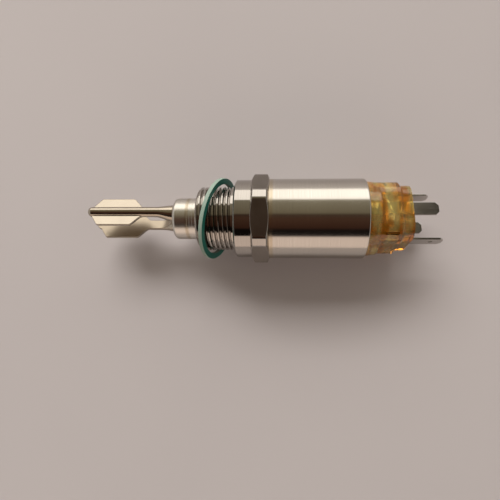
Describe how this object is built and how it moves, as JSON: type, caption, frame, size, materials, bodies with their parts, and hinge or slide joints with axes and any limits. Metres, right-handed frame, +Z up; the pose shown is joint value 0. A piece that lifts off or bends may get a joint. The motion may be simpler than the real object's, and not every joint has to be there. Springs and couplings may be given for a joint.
{
  "type": "vibrating fork level switch",
  "caption": "Steel tuning-fork probe on a screw-in hexagon body with a loose green gasket, a round steel housing and an amber plug base with flat contact blades; it senses liquid level.",
  "frame": {"origin": "Centre of the flat sealing face behind the thread, on the axis of the instrument.", "axes": "+X runs along the axis from the fork towards the plug, +Z is up, and one flat of the hexagon faces down as the switch lies on a table."},
  "size_m": [0.1457, 0.0368, 0.034],
  "materials": {
    "stainless_steel": "turned stainless steel",
    "green_gasket": "smooth fibre gasket with a pale cut edge",
    "white_insulator": "fired ceramic",
    "piezo_ceramic": "fired ceramic",
    "brass": "bare turned brass",
    "lead_insulation": "smooth insulation",
    "potting": "cast resin",
    "black_plastic": "moulded",
    "board_green": "lacquered laminate",
    "clear_lamp": "clear lamp body",
    "amber_plastic": "clear amber moulding",
    "black_rubber": "smooth",
    "tin_plate": "tin plated brass"
  },
  "bodies": {
    "switch_body": {"process_adapter": "stainless_steel", "housing_tube": "stainless_steel", "fork_head": "stainless_steel", "barrel_sleeve": "stainless_steel", "pressure_piece": "stainless_steel", "stack_insulators": "white_insulator", "piezo_discs": "piezo_ceramic", "electrode_discs": "brass", "clamp_screw": "stainless_steel", "drive_leads": "lead_insulation", "feedthrough_seal": "potting", "board_carrier": "black_plastic", "circuit_board": "board_green", "board_components": "black_plastic", "magnet_sensor": "black_plastic", "header_pins": "tin_plate", "terminal_board": "board_green", "status_leds": "clear_lamp", "earth_clip": "tin_plate", "connector_insert": "amber_plastic", "insert_seal": "black_rubber", "screw_bush": "brass", "contact_blade_1": "tin_plate", "contact_blade_2": "tin_plate", "contact_blade_3": "tin_plate", "earth_blade": "tin_plate"},
    "upper_fork_tine": {"upper_tine": "stainless_steel"},
    "lower_fork_tine": {"lower_tine": "stainless_steel"},
    "loose_ring": {"sealing_ring": "green_gasket"}
  },
  "joints": [
    {"name": "upper_tine_swing", "type": "hinge", "parent": "switch_body", "child": "upper_fork_tine", "pos_m": [-0.026, 0.00203, 0.00324], "axis": [0, 0.848, -0.5299], "range_deg": [-0.15, 0.15], "stiffness_Nm_per_rad": 5},
    {"name": "lower_tine_swing", "type": "hinge", "parent": "switch_body", "child": "lower_fork_tine", "pos_m": [-0.026, -0.00203, -0.00324], "axis": [0, 0.848, -0.5299], "range_deg": [-0.15, 0.15], "stiffness_Nm_per_rad": 5},
    {"name": "ring_slide", "type": "slide", "parent": "switch_body", "child": "loose_ring", "axis": [1, 0, 0], "range_m": [-0.062, 0.0014]}
  ],
  "couplings": [
    {"joint": "lower_tine_swing", "follows": "upper_tine_swing", "ratio": -1}
  ]
}
